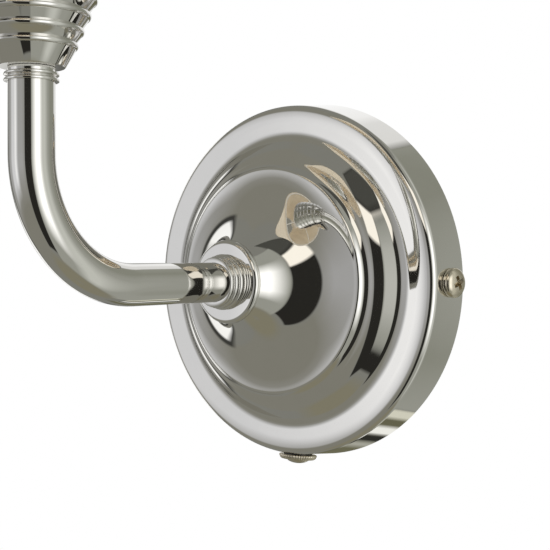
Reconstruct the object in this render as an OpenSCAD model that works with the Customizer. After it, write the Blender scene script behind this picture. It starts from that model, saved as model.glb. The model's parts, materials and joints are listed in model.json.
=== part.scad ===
// Swing arm wall light.
// A round stepped cover hides the wall bracket. A curved arm runs out of its hub and up to a
// turned knuckle. A second curved arm swings on that knuckle and carries the lampholder, bulb
// and tapered shade. Millimetres. Origin: middle of the cover's back edge, on the wall.
// +Z is up, -Y points out of the wall, +X is to the right seen from the room's side.

/* [Cover] */
// Diameter of the cover at the front of its side band
plate_d = 120; // [114:1:140]
// How much wider the cover is at the wall than at the front of its band
band_flare = 3; // [0:0.5:4]
// Distance from the wall to the flat rim
rim_h = 15.2; // [14:0.1:20]
// Width of the flat rim
rim_w = 8.3; // [6:0.1:9]
// Rounding between the band and the rim
edge_r = 1.8; // [1.4:0.1:2.5]
// Radius of the hollow between the rim and the shoulder
fillet_r = 2.8; // [1.5:0.1:3.5]
// Height of the straight wall under the shoulder
shoulder_wall = 0.8; // [0.3:0.1:3]
// Rounding of the shoulder
shoulder_r = 4.2; // [3:0.1:5]
// Width of the ledge between the shoulder and the cove
ledge_w = 2.8; // [2:0.1:3.2]
// Slope of the ledge up towards the middle, in degrees
ledge_slope = 10; // [0:1:14]
// Radius of the cove outside the bead
cove_r = 1; // [0.8:0.1:1.5]
// Radius of the bead round the hub's foot
bead_r = 1.1; // [1:0.05:1.3]
// How far the bead's inner side drops to the hub's foot
bead_drop = 1.7; // [1:0.1:1.8]
// Slope of the hub at its foot, in degrees
hub_foot_slope = 8; // [4:1:14]
// Slope of the hub under the washer, in degrees
hub_top_slope = 64.5; // [62:0.5:66]
// Radius of the hub's flat end under the washer
hub_top_r = 12.3; // [12:0.1:13]
// Thickness of the cover's sheet metal
sheet_t = 0.9; // [0.6:0.1:0.9]

/* [Fixings] */
// Thickness of the wall bracket
bracket_t = 1.5; // [1.2:0.1:3]
// Radius of the bracket's round middle
bracket_r = 36; // [32:1:40]
// Width of the bracket's arms
bracket_w = 20; // [16:1:24]
// Distance between the two slots for the wall screws
slot_spacing = 54; // [50:1:56]
// Length of each slot, end to end
slot_l = 12; // [8:1:13]
// Width of each slot
slot_w = 4.5; // [4:0.1:5.5]
// Diameter of the hole for the mains cable
cable_hole_d = 16; // [12:1:18]
// Diameter of the cover screws
cover_screw_d = 5; // [4:0.5:5]
// Diameter of the cover screws' heads
cover_head_d = 9.5; // [8:0.1:9.5]
// Distance of the cover screws from the wall
cover_screw_h = 5.8; // [5.4:0.1:7]
// Length of the cover screws under the head
cover_screw_l = 9; // [7:0.5:12]

/* [Switch] */
// Distance of the push switch from the wall
switch_h = 7.2; // [7:0.1:8]
// Diameter of the switch's threaded barrel
switch_barrel_d = 10; // [9:0.5:10.5]
// Diameter of the round bezel nut
bezel_d = 13.2; // [12:0.1:13.4]
// Height of the bezel nut
bezel_h = 1.7; // [1.2:0.1:2.5]
// Diameter of the push button
button_d = 8; // [6:0.5:8.5]
// How far the button stands out of the bezel
button_proud = 1.8; // [1.4:0.1:3]
// How far the button travels
button_travel = 1.2; // [0.6:0.1:1.2]

/* [Arms] */
// Outside diameter of both arm tubes
tube_d = 12.7; // [12.5:0.1:13.2]
// Wall thickness of both arm tubes
tube_t = 1.15; // [0.8:0.05:1.15]
// Distance from the wall to the swing axis
lower_reach = 121.5; // [110:0.5:160]
// Distance from the swing axis to the lamp's axis
upper_reach = 110; // [90:1:125]
// Centreline radius of both bends
bend_r = 36; // [30:1:45]
// Straight length of tube above each bend
riser_l = 21; // [10:1:40]
// Diameter of the turned washer between hub and arm
washer_d = 27.2; // [25:0.1:30]
// Thickness of the turned washer
washer_t = 3.2; // [2:0.1:5]
// Length of the reeded collars
collar_l = 5.4; // [4.5:0.1:9]
// Diameter of a collar's widest reed
collar_d = 18; // [17:0.1:19]
// How much each reed is smaller than the one before
reed_step = 0.9; // [0.3:0.1:1]
// Diameter of the hollow threaded nipples
nipple_d = 10; // [9:0.5:10]
// Bore of the hollow threaded nipples
nipple_bore = 7.2; // [6:0.1:7.5]
// Diameter of the flex inside the arms
flex_d = 4.6; // [4:0.1:5]

/* [Knuckle] */
// Diameter of the spools on top of the arm tubes
spool_d = 14.8; // [14.6:0.1:18]
// Height of the spools
spool_h = 2.4; // [2.2:0.1:6]
// Diameter of the neck above a spool
neck_d = 12.6; // [12.2:0.1:14]
// Height of the neck above a spool
neck_h = 0.9; // [0.6:0.1:3]
// Diameter of the knuckle's flared cup at its foot
cup_foot_d = 18.4; // [18:0.1:22]
// Angle of the cup's side from upright, in degrees
cup_angle = 22.6; // [20:0.2:26]
// Height of the knuckle's flared cup
cup_h = 31; // [30:0.5:36]
// Height of the upper arm's axis over the cup's foot
arm_rise = 21; // [20:0.5:22]
// Thickness of the knuckle's floor
floor_t = 4; // [3:0.1:5]
// Diameter of the ball on the finial
finial_d = 9; // [7:0.5:12]
// Length of the finial's neck
finial_neck_h = 4.5; // [1.5:0.5:8]
// Thickness of the friction washer under the knuckle
friction_t = 0.5; // [0.3:0.1:1.5]
// Swing of the upper arm to each side, in degrees
swing_limit = 90; // [60:5:90]

/* [Lamp] */
// Outside diameter of the sleeve over the lampholder
sleeve_d = 26; // [25.6:0.1:27]
// Height of the sleeve
sleeve_h = 34; // [30:1:60]
// Height of the drip cup
drip_h = 15; // [13:0.5:20]
// Diameter of the drip cup's lip
drip_d = 37; // [34:0.5:44]
// Diameter of the lampholder's threaded skirt
skirt_d = 28; // [27.4:0.1:29]
// Height of the lampholder's threaded skirt
skirt_h = 12; // [10:0.5:16]
// Diameter of the bulb's cap
cap_d = 13.8; // [13.2:0.1:14]
// Diameter of the bulb's globe
globe_d = 45; // [35:1:50]

/* [Shade] */
// Diameter of the shade at the bottom
shade_bottom_d = 200; // [160:5:205]
// Diameter of the shade at the top
shade_top_d = 130; // [100:5:160]
// Height of the shade
shade_h = 150; // [130:5:190]
// Thickness of the shade's laminated fabric
shade_t = 0.9; // [0.6:0.1:1.5]
// How far the shade hangs below its carrier ring
shade_drop = 24; // [10:1:32]
// Diameter of the frame's wire
wire_d = 3; // [2:0.5:4]
// Height of the folded tape on the shade's edges
trim_h = 10; // [5:0.5:14]
// Thickness of the folded tape
trim_t = 0.5; // [0.3:0.1:1]

/* [Hidden] */
$fn = 96;

// Clearances
run_gap = 0.05;    // radial clearance of a shaft that turns or slides in its hole
thread_gap = 0.03; // radial clearance left between threaded pieces
fit_gap = 0.05;    // clearance of a piece pushed into its seat
hole_gap = 0.25;   // radial clearance of a screw or barrel in a plain hole
axial_gap = 0.1;   // clearance between faces that turn on each other
trim_gap = 0.15;   // glue line between the shade's skin and its tape

// Cover outline, from the wall inwards: [radius, distance from the wall]
plate_r = plate_d / 2;
band_slope = atan(band_flare / 2 / (rim_h - edge_r));
rim_in_r = plate_r - edge_r - rim_w;
wall_r = rim_in_r - fillet_r;
shoulder_foot_h = rim_h + fillet_r + shoulder_wall;
shoulder_c = [wall_r - shoulder_r, shoulder_foot_h];
shoulder_end = shoulder_c + shoulder_r * [sin(ledge_slope), cos(ledge_slope)];
ledge_in_r = shoulder_end[0] - ledge_w;
ledge_h = shoulder_end[1] + ledge_w * tan(ledge_slope);
bead_out_r = ledge_in_r - cove_r;
bead_rise = 0.8;
bead_h = ledge_h + cove_r + bead_rise;
hub_foot = [bead_out_r - 2 * bead_r, bead_h - bead_drop];
hub_r = (hub_foot[0] - hub_top_r) / (sin(hub_top_slope) - sin(hub_foot_slope));
hub_c = hub_foot + hub_r * [sin(hub_foot_slope), cos(hub_foot_slope)];
hub_h = hub_c[1] - hub_r * cos(hub_top_slope);

nipple_r = nipple_d / 2;
nipple_bore_r = nipple_bore / 2;
nipple_hole_r = nipple_r + hole_gap;
flex_r = flex_d / 2;
tube_r = tube_d / 2;
tube_bore_r = tube_r - tube_t;

cover_outline = concat(
    [[plate_r + band_flare / 2, 0]],
    arc([plate_r - edge_r, rim_h - edge_r], edge_r, 0, 90, 6),
    arc([rim_in_r, rim_h + fillet_r], fillet_r, 270, 180, 8),
    arc(shoulder_c, shoulder_r, 0, 90 - ledge_slope, 10),
    arc([ledge_in_r, ledge_h + cove_r], cove_r, 270, 180, 6),
    arc([bead_out_r - bead_r, bead_h], bead_r, 0, 180, 10),
    [for (i = [0:24]) let (s = hub_foot_slope + (hub_top_slope - hub_foot_slope) * i / 24)
        hub_c - hub_r * [sin(s), cos(s)]],
    [[nipple_hole_r, hub_h]]);
// The inside of the sheet, ending in the wall's plane
cover_inside = concat([[plate_r + band_flare / 2 - sheet_t / cos(band_slope), 0]],
    [for (i = [1:len(cover_outline) - 1]) inset(cover_outline, sheet_t)[i]]);

// Cover screws, in ears of the bracket
screw_seat_r = plate_r + band_flare / 2 - cover_screw_h * tan(band_slope);
ear_t = 2.5;
ear_w = 14;
ear_gap = 0.6;
ear_top_h = 11.4;
ear_face_x = screw_seat_r - sheet_t - ear_gap - 1.2;
head_h = 3;
washer_gap = 0.02;

// Terminal block on the bracket, above the middle
block_w = 27;
block_z = [11, 24];
block_h = 14;
pole_pitch = 8.5;
pole_hole_r = 1.7;
terminal_screw_r = 1.7;
terminal_screw_h = 2.2;
flex_turn_r = 11;
cable_hole_z = -15;
earth_x = 21;
earth_z = -14;
earth_r = 2;
earth_head_r = 3.8;

// Push switch in the bottom of the band
switch_seat_r = plate_r + band_flare / 2 - switch_h * tan(band_slope);
switch_barrel_r = switch_barrel_d / 2;
switch_flange_t = 1.2;
switch_flange_r = 5.9;
switch_case = [13, 9.4, 15];
button_r = button_d / 2;
stem_r = 2.8;
stem_l = 5;
bezel_r = bezel_d / 2;
switch_seat_gap = 0.35;

// Hub washer, collar and lower arm, by distance from the wall
washer_h = hub_h;
collar_h = washer_h + washer_t;
collar_floor = 2;
lock_washer_t = 1.2;
nut_t = 3.2;
nut_af = 14;
nut_seat_h = hub_h - sheet_t - lock_washer_t;
nipple_in_h = nut_seat_h - nut_t - 2;
nipple_out_h = collar_h + collar_floor + 2;
tube_start_h = collar_h + collar_floor;
bend_start_h = lower_reach - bend_r;

// Spools and knuckle, by height
spool_z = bend_r + riser_l - 1.6;
socket_depth = 1.6;
neck_z = spool_z + spool_h;
base_top_z = neck_z + neck_h;
knuckle_z = base_top_z + friction_t + axial_gap;
knuckle_floor_z = knuckle_z + floor_t;
cup_foot_r = cup_foot_d / 2;
cup_wall = 1.6;
cup_top_r = cup_foot_r + cup_h * tan(cup_angle);
cup_bore_r = cup_top_r - 3.1;
cup_thread_h = 3.5;
cup_reeds = 2;
cup_reed_r = 0.9;
cup_reed_first = 5.8;
cup_reed_pitch = 3.9;
cup_top_z = knuckle_z + cup_h;
upper_z = knuckle_z + arm_rise;
boss_r = collar_d / 2 - 0.3;
boss_end = cup_top_r + 2;
stop_t = 1.5;
stop_z = knuckle_floor_z + axial_gap;
stop_core_r = 6.4;
stop_pin_r = 0.8;
stop_pin_at = stop_core_r + 0.35 + stop_pin_r;
stop_rim_r = stop_pin_at + stop_pin_r;
stop_margin = asin((stop_pin_r + 0.1) / stop_pin_at);
knuckle_nut_z = stop_z + stop_t;
pivot_top_z = knuckle_nut_z + nut_t + 1;
lower_flex_top_z = upper_z - flex_r - 0.4;
cap_z = cup_top_z;
cap_ring_h = 2;
cap_skirt_h = 3;
cap_dome_h = 6;
cap_top_z = cap_z + cap_ring_h + cap_dome_h;
finial_stem_r = 3;
finial_foot_r = 5.6;
finial_foot_h = 1.6;
finial_r = finial_d / 2;

// Upper arm, from the swing axis
upper_collar_at = boss_end;
upper_tube_at = upper_collar_at + collar_floor;
upper_nipple_end = upper_collar_at + collar_floor + 2;
upper_bend_at = upper_reach - bend_r;
lamp_y = -lower_reach - upper_reach;
lamp_spool_z = upper_z + spool_z;
drip_z = lamp_spool_z + spool_h + neck_h;
drip_floor = 6;
drip_wall = 1.4;
drip_r = drip_d / 2;
sleeve_r = sleeve_d / 2;
sleeve_t = 0.8;
sleeve_z = drip_z + drip_floor;
holder_z = sleeve_z;
holder_r = sleeve_r - sleeve_t - fit_gap - 0.15;
skirt_r = skirt_d / 2;
skirt_z = sleeve_z + sleeve_h;
flange_t = 2.4;
flange_r = skirt_r + 3;
skirt_top_z = skirt_z + skirt_h;
cap_r = cap_d / 2;
shell_r = cap_r + 0.5;
shell_t = 0.5;
shell_l = 21;
shell_z = skirt_top_z - shell_l - 0.5;
contact_t = 0.8;
lamp_nipple_top_z = holder_z + 6;
bulb_cap_l = 20;
bulb_cap_z = shell_z + 1.2;
globe_r = globe_d / 2;
globe_t = 0.8;
globe_neck_r = cap_r + 0.4;
globe_neck_z = bulb_cap_z + bulb_cap_l + 1.2;
globe_z = globe_neck_z + sqrt(globe_r * globe_r - globe_neck_r * globe_neck_r) + 4;

// Shade
carrier_t = 1.2;
carrier_z = skirt_z + flange_t;
ring_nut_h = 4;
ring_nut_r = skirt_r + 4.5;
carrier_r = flange_r + 1;
shade_z = carrier_z - shade_drop;
shade_top_z = shade_z + shade_h;
wire_r = wire_d / 2;
shade_lean = atan((shade_bottom_d - shade_top_d) / 2 / shade_h);
spokes = 3;

// Points on a round stretch of an outline
function arc(c, r, a0, a1, n) =
    [for (i = [0:n]) let (a = a0 + (a1 - a0) * i / n) c + r * [cos(a), sin(a)]];
function unit(v) = v / norm(v);
function left_of(v) = [-v[1], v[0]];
// The outline moved sideways by t, with mitred corners
function inset(p, t) = let (n = len(p) - 1)
    [for (i = [0:n]) let (
        a = left_of(unit(i == 0 ? p[1] - p[0] : p[i] - p[i - 1])),
        b = left_of(unit(i == n ? p[n] - p[n - 1] : p[i + 1] - p[i])))
        p[i] + t * (a + b) / (1 + a * b)];
function reversed(p) = [for (i = [len(p) - 1:-1:0]) p[i]];
// Inner radius of the shade's skin at height z
function shade_in_r(z) = shade_bottom_d / 2 - (z - shade_z) * tan(shade_lean)
    - shade_t / cos(shade_lean);

// Turned frames: local +Z points out of the wall, to the side, down, or along the upper arm
module out_of_wall(h = 0) {
    translate([0, -h, 0]) rotate([90, 0, 0]) children();
}
module at_cover_screw(side) {
    translate([side * screw_seat_r, -cover_screw_h, 0])
        rotate([0, 0, -side * band_slope]) rotate([0, side * 90, 0]) children();
}
module at_switch() {
    translate([0, -switch_h, -switch_seat_r])
        rotate([-band_slope, 0, 0]) rotate([180, 0, 0]) children();
}
module at_knuckle() {
    translate([0, -lower_reach, 0]) children();
}
module along_upper_arm(at = 0) {
    translate([0, -lower_reach - at, upper_z]) rotate([90, 0, 0]) children();
}
module at_lamp() {
    translate([0, lamp_y, 0]) children();
}

// Shared shapes
module ring(r_out, r_in, h) {
    difference() {
        cylinder(r = r_out, h = h);
        translate([0, 0, -1]) cylinder(r = r_in, h = h + 2);
    }
}
// A hollow threaded nipple
module nipple(l) {
    ring(nipple_r, nipple_bore_r, l);
}
module hex_nut(af, h, bore_r) {
    difference() {
        intersection() {
            cylinder(r = af / 2 / cos(30), h = h, $fn = 6);
            rotate_extrude() polygon([[0, 0], [af / 2, 0], [af / 2 / cos(30), 0.6],
                [af / 2 / cos(30), h - 0.6], [af / 2, h], [0, h]]);
        }
        translate([0, 0, -1]) cylinder(r = bore_r, h = h + 2);
    }
}
// A cross-recess pan head on a plain shank, seated at z = 0 and pointing along -Z
module pan_screw(d, head_d, head_h, l) {
    recess = head_d * 0.5;
    slot = head_d * 0.13;
    difference() {
        union() {
            rotate_extrude() polygon(concat(
                [[0, 0], [head_d / 2 - 0.2, 0], [head_d / 2, 0.3], [head_d / 2, head_h * 0.36]],
                [for (a = [10:10:90])
                    [head_d / 2 * cos(a), head_h * (0.36 + 0.64 * sin(a))]]));
            translate([0, 0, -l]) cylinder(r = d / 2, h = l + 0.5);
        }
        for (a = [0, 90]) rotate([0, 0, a])
            translate([-recess / 2, -slot / 2, head_h * 0.42]) cube([recess, slot, head_h]);
    }
}
// A quarter bend of round bar, from the origin along +X, turning up to +Y
module bend(r, turn) {
    translate([0, turn, 0]) rotate([0, 0, -90])
        rotate_extrude(angle = 90) translate([turn, 0]) circle(r = r);
}
// Round bar that runs level for l, bends up and rises by h. Local X is level, local Y is up
module swan_bar(r, l, turn, h) {
    rotate([0, 90, 0]) cylinder(r = r, h = l);
    translate([l, 0, 0]) bend(r, turn);
    translate([l + turn, turn, 0]) rotate([-90, 0, 0]) cylinder(r = r, h = h);
}
// The same as a tube with open ends
module swan_tube(r, bore_r, l, turn, h) {
    difference() {
        swan_bar(r, l, turn, h);
        translate([-1, 0, 0]) swan_bar(bore_r, l + 1, turn, h + 1);
    }
}
// Lays local X along -Y and local Y along +Z
module in_arm_plane() {
    rotate([0, 0, -90]) rotate([90, 0, 0]) children();
}
// A collar of three rounded reeds, each smaller than the last, with a socket for the tube
module reeded_collar() {
    reeds = 3;
    reed_l = collar_l / reeds;
    difference() {
        rotate_extrude() polygon(concat([[0, 0]],
            [for (k = [0:reeds - 1], a = [-75:15:75])
                let (r = (collar_d - reed_step * k) / 2)
                [r - 0.42 + 0.42 * cos(a), reed_l * (k + 0.5 + 0.48 * sin(a))]],
            [[0, collar_l]]));
        translate([0, 0, -1]) cylinder(r = nipple_r + thread_gap, h = collar_l);
        translate([0, 0, collar_floor]) cylinder(r = tube_r + thread_gap, h = collar_l);
    }
}
// A spool with two lips and a narrower neck, threaded for a nipple, open below for the tube
module spool() {
    lip = 0.8;
    r = spool_d / 2;
    difference() {
        rotate_extrude() polygon([[0, 0], [r - 0.2, 0], [r, 0.2], [r, lip], [r - 0.45, lip + 0.2],
            [r - 0.45, spool_h - lip - 0.2], [r, spool_h - lip], [r, spool_h - 0.2],
            [r - 0.2, spool_h], [neck_d / 2, spool_h], [neck_d / 2, spool_h + neck_h],
            [0, spool_h + neck_h]]);
        translate([0, 0, -1]) cylinder(r = nipple_r + thread_gap, h = spool_h + neck_h + 2);
        translate([0, 0, -1]) cylinder(r = tube_r + thread_gap, h = socket_depth + 1);
    }
}
module rod(a, b, r) {
    d = b - a;
    translate(a) rotate([0, acos(d[2] / norm(d)), atan2(d[1], d[0])]) cylinder(r = r, h = norm(d));
}
// A cone shell between two heights that follows the shade's lean, from r0 outside
module lean_shell(r0, z, h, t) {
    skin = t / cos(shade_lean);
    drop = h * tan(shade_lean);
    translate([0, 0, z]) rotate_extrude() polygon([[r0, 0], [r0 - drop, h],
        [r0 - drop - skin, h], [r0 - skin, 0]]);
}

// Pressed steel bracket: round middle, two arms with bent ears tapped for the cover screws
module wall_bracket() {
    color("silver") difference() {
        union() {
            out_of_wall() linear_extrude(bracket_t) union() {
                circle(r = bracket_r);
                square([2 * ear_face_x, bracket_w], center = true);
            }
            for (side = [-1, 1]) translate([side * (ear_face_x - ear_t / 2), -ear_top_h / 2, 0])
                cube([ear_t, ear_top_h, ear_w], center = true);
        }
        for (side = [-1, 1]) {
            out_of_wall(-1) linear_extrude(bracket_t + 2)
                translate([side * slot_spacing / 2, 0]) wall_slot();
            at_cover_screw(side) translate([0, 0, -cover_screw_l])
                cylinder(r = cover_screw_d / 2 + thread_gap, h = cover_screw_l);
        }
        out_of_wall(-1) translate([0, cable_hole_z, 0])
            cylinder(r = cable_hole_d / 2, h = bracket_t + 2);
        out_of_wall(-1) translate([earth_x, earth_z, 0])
            cylinder(r = earth_r + thread_gap, h = bracket_t + 2);
    }
}
module wall_slot() {
    union() {
        square([slot_l - slot_w, slot_w], center = true);
        for (side = [-1, 1]) translate([side * (slot_l - slot_w) / 2, 0]) circle(r = slot_w / 2);
    }
}

// Spun cover: side band, flat rim, shoulder, ledge, cove, bead and flared hub
module wall_plate() {
    color("gainsboro") difference() {
        out_of_wall() rotate_extrude()
            polygon(concat(cover_outline, reversed(cover_inside)));
        for (side = [-1, 1]) at_cover_screw(side) translate([0, 0, -4])
            cylinder(r = cover_screw_d / 2 + hole_gap, h = 6);
        at_switch() translate([0, 0, -4]) cylinder(r = switch_barrel_r + hole_gap, h = 6);
    }
}

module cover_screws() {
    color("tan") for (side = [-1, 1]) at_cover_screw(side) translate([0, 0, washer_gap])
        pan_screw(cover_screw_d, cover_head_d, head_h, cover_screw_l);
}

// Three-pole terminal block with round wire ports and screw wells
module terminal_block() {
    mid_z = (block_z[0] + block_z[1]) / 2;
    color("ivory") difference() {
        union() {
            translate([-block_w / 2, -bracket_t - block_h * 0.55, block_z[0]])
                cube([block_w, block_h * 0.55, block_z[1] - block_z[0]]);
            for (k = [-1:1]) translate([k * pole_pitch, 0, mid_z]) {
                translate([-3.4, -bracket_t - block_h, block_z[0] - mid_z])
                    cube([6.8, block_h - 1, block_z[1] - block_z[0]]);
            }
        }
        for (k = [-1:1]) {
            translate([k * pole_pitch, -bracket_t - block_h * 0.42, block_z[0] - 1])
                cylinder(r = pole_hole_r + 1, h = block_z[1] - block_z[0] + 2);
            for (s = [-1, 1]) out_of_wall(bracket_t + block_h * 0.42)
                translate([k * pole_pitch, mid_z + s * 3.2, 0])
                cylinder(r = terminal_screw_r + fit_gap, h = block_h);
        }
    }
}
// Two clamping screws for each pole
module terminal_screws() {
    mid_z = (block_z[0] + block_z[1]) / 2;
    well = bracket_t + block_h - 4;
    color("goldenrod") for (k = [-1:1], s = [-1, 1])
        out_of_wall(well) translate([k * pole_pitch, mid_z + s * 3.2, 0]) difference() {
            cylinder(r = terminal_screw_r, h = terminal_screw_h);
            translate([-2, -0.3, terminal_screw_h - 0.8]) cube([4, 0.6, 2]);
        }
}
// Earth screw with its cup washer
module earth_screw() {
    washer_h = 0.8;
    color("goldenrod") out_of_wall(bracket_t)
        translate([earth_x, earth_z, 0]) union() {
            cylinder(r = earth_head_r + 0.8, h = washer_h);
            translate([0, 0, washer_h])
                pan_screw(2 * earth_r, 2 * earth_head_r, 2.4, washer_h + bracket_t);
        }
}

// Push switch: case inside the cover, flange against the band, threaded barrel outside
module switch_body() {
    color("dimgray") at_switch() difference() {
        union() {
            translate([0, 0, -sheet_t - switch_flange_t - switch_seat_gap])
                cylinder(r = switch_flange_r, h = switch_flange_t);
            translate([-switch_case[0] / 2, -switch_case[1] / 2,
                -sheet_t - switch_flange_t - switch_case[2]]) cube(switch_case);
            translate([0, 0, -sheet_t - switch_flange_t])
                cylinder(r = switch_barrel_r, h = sheet_t + switch_flange_t + bezel_h - 0.4);
        }
        translate([0, 0, -stem_l - button_travel])
            cylinder(r = stem_r + run_gap, h = stem_l + 10);
        translate([0, 0, bezel_h - 0.4 - button_travel - 0.4])
            cylinder(r = button_r + 0.1, h = 10);
    }
}
// Round bezel nut with a bevelled side
module switch_bezel() {
    color("tan") at_switch() translate([0, 0, switch_seat_gap]) difference() {
        rotate_extrude() polygon([[0, 0], [bezel_r, 0], [bezel_r, 0.5], [bezel_r - 1.1, bezel_h],
            [0, bezel_h]]);
        translate([0, 0, -1]) cylinder(r = switch_barrel_r + thread_gap, h = bezel_h + 2);
    }
}
// Domed push button on its stem
module switch_button() {
    base = bezel_h - 0.4;
    color("tan") at_switch() union() {
        translate([0, 0, base]) rotate_extrude() polygon(concat([[0, 0], [button_r, 0]],
            [for (a = [0:10:90])
                [button_r * cos(a), 0.5 + (button_proud - 0.1) * sin(a)]]));
        translate([0, 0, -stem_l + 0.3]) cylinder(r = stem_r, h = stem_l + base);
    }
}

// Hub fixings: spring washer, nut and hollow nipple
module lock_washer() {
    color("silver") out_of_wall(nut_seat_h)
        ring(nipple_r + 3.6, nipple_r + hole_gap, lock_washer_t);
}
module lock_nut() {
    color("silver") out_of_wall(nut_seat_h - nut_t)
        hex_nut(nut_af, nut_t, nipple_r + thread_gap);
}
module arm_nipple() {
    color("silver") out_of_wall(nipple_in_h) nipple(nipple_out_h - nipple_in_h);
}
// Turned washer with a rounded edge
module arm_washer() {
    r = washer_d / 2;
    round_r = min(1.5, washer_t / 2 - 0.05);
    color("gainsboro") out_of_wall(washer_h) difference() {
        rotate_extrude() polygon(concat([[0, 0]],
            arc([r - round_r, round_r], round_r, -90, 0, 6),
            arc([r - round_r, washer_t - round_r], round_r, 0, 90, 6),
            [[0, washer_t]]));
        translate([0, 0, -1]) cylinder(r = nipple_hole_r, h = washer_t + 2);
    }
}
module lower_collar() {
    color("gainsboro") out_of_wall(collar_h) reeded_collar();
}
module lower_arm() {
    color("gainsboro") translate([0, -tube_start_h, 0]) in_arm_plane()
        swan_tube(tube_r, tube_bore_r, bend_start_h - tube_start_h, bend_r,
            spool_z + socket_depth - bend_r);
}
// Flex from the terminal block through the lower arm to the knuckle
module lower_flex() {
    start_h = bracket_t + block_h * 0.42 + flex_turn_r;
    color("white") union() {
        translate([0, -start_h, 0]) in_arm_plane()
            swan_bar(flex_r, bend_start_h - start_h, bend_r, lower_flex_top_z - bend_r);
        translate([0, -start_h, 0]) mirror([0, 1, 0]) in_arm_plane() bend(flex_r, flex_turn_r);
    }
}

// Fixed half of the knuckle
module knuckle_base() {
    color("gainsboro") at_knuckle() translate([0, 0, spool_z]) spool();
}
module pivot_nipple() {
    start = spool_z + socket_depth - 3;
    color("silver") at_knuckle() translate([0, 0, start]) nipple(pivot_top_z - start);
}
module friction_washer() {
    color("white") at_knuckle() translate([0, 0, base_top_z])
        ring(neck_d / 2, nipple_r + thread_gap, friction_t);
}
// Washer keyed to the nipple, with a raised sector that stops the pin
module stop_washer() {
    color("silver") at_knuckle() translate([0, 0, stop_z]) difference() {
        union() {
            cylinder(r = stop_core_r, h = stop_t);
            rotate([0, 0, swing_limit - 90 + stop_margin])
                rotate_extrude(angle = 360 - 2 * swing_limit - 2 * stop_margin)
                translate([stop_core_r - 1, 0]) square([stop_rim_r - stop_core_r + 1, stop_t]);
        }
        translate([0, 0, -1]) cylinder(r = nipple_r + thread_gap, h = stop_t + 2);
    }
}
module knuckle_nut() {
    color("silver") at_knuckle() translate([0, 0, knuckle_nut_z])
        hex_nut(nut_af - 1, nut_t, nipple_r + thread_gap);
}

// Turning half of the knuckle: reeded, flared cup with a boss for the upper arm
module knuckle_body() {
    foot_in_r = cup_foot_r + floor_t * tan(cup_angle) - cup_wall / cos(cup_angle);
    thread_z = cup_top_z - cup_thread_h;
    color("gainsboro") difference() {
        union() {
            at_knuckle() rotate_extrude() polygon(concat(
                [[0, knuckle_z], [cup_foot_r, knuckle_z]],
                [for (k = [0:cup_reeds - 1], a = [-80:20:80])
                    let (h = cup_reed_first + k * cup_reed_pitch)
                    [cup_foot_r + h * tan(cup_angle) + cup_reed_r * cos(a),
                        knuckle_z + h + cup_reed_r * sin(a)]],
                [[cup_top_r, cup_top_z], [0, cup_top_z]]));
            along_upper_arm() cylinder(r = boss_r, h = boss_end);
        }
        at_knuckle() rotate_extrude() polygon([[0, knuckle_floor_z],
            [foot_in_r, knuckle_floor_z],
            [foot_in_r + (thread_z - knuckle_floor_z) * tan(cup_angle) - 1, thread_z],
            [cup_bore_r, thread_z], [cup_bore_r, cup_top_z + 1], [0, cup_top_z + 1]]);
        at_knuckle() translate([0, 0, knuckle_z - 1])
            cylinder(r = nipple_r + run_gap, h = floor_t + 2);
        along_upper_arm() cylinder(r = nipple_r + thread_gap, h = boss_end + 1);
        at_knuckle() translate([0, -stop_pin_at, knuckle_floor_z - 2])
            cylinder(r = stop_pin_r + 0.02, h = 3);
    }
}
module stop_pin() {
    color("silver") at_knuckle() translate([0, -stop_pin_at, knuckle_floor_z - 2])
        cylinder(r = stop_pin_r, h = 2 + axial_gap + stop_t - 0.2);
}
// Domed cap that screws into the cup
module knuckle_cap() {
    rise = cap_dome_h;
    neck_r = finial_foot_r - 0.6;
    color("gainsboro") at_knuckle() translate([0, 0, cap_z]) difference() {
        rotate_extrude() polygon(concat(
            [[0, -cap_skirt_h], [cup_bore_r - thread_gap, -cap_skirt_h],
                [cup_bore_r - thread_gap, 0]],
            arc([cup_top_r - 0.4, 1], 1, -80, 80, 8),
            [for (a = [0:10:80]) [neck_r + (cup_top_r - neck_r - 0.8) * cos(a),
                cap_ring_h + rise * sin(a)]],
            [[neck_r, cap_ring_h + rise], [0, cap_ring_h + rise]]));
        translate([0, 0, -cap_skirt_h - 1])
            cylinder(r = cup_bore_r - 2, h = cap_skirt_h + 1 + cap_ring_h * 0.6);
        cylinder(r = finial_stem_r + thread_gap, h = cap_ring_h + rise + 1);
    }
}
// Ball finial with a foot ring, screwed into the cap
module knuckle_finial() {
    ball_z = finial_foot_h + finial_neck_h + finial_r - 0.7;
    color("gainsboro") at_knuckle() translate([0, 0, cap_top_z]) union() {
        rotate_extrude() polygon(concat([[0, 0], [finial_foot_r - 0.5, 0]],
            arc([finial_foot_r - 0.8, finial_foot_h / 2], finial_foot_h / 2, -60, 60, 6),
            [[3.4, finial_foot_h], [2.6, finial_foot_h + 0.8],
                [2.2, finial_foot_h + finial_neck_h], [0, finial_foot_h + finial_neck_h]]));
        translate([0, 0, ball_z]) sphere(r = finial_r);
        translate([0, 0, ball_z + finial_r - 0.5]) cylinder(r = 1.6, h = 1.7);
        translate([0, 0, ball_z + finial_r + 1.9]) sphere(r = 1.9);
        translate([0, 0, -4]) cylinder(r = finial_stem_r, h = 4.5);
    }
}

// Upper arm and what joins it to the knuckle
module upper_nipple() {
    start = cup_foot_r + arm_rise * tan(cup_angle) - 2;
    color("silver") along_upper_arm(start) nipple(upper_nipple_end - start);
}
module upper_collar() {
    color("gainsboro") along_upper_arm(upper_collar_at) reeded_collar();
}
module upper_arm() {
    color("gainsboro") translate([0, -lower_reach - upper_tube_at, upper_z]) in_arm_plane()
        swan_tube(tube_r, tube_bore_r, upper_bend_at - upper_tube_at, bend_r,
            spool_z + socket_depth - bend_r);
}
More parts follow.
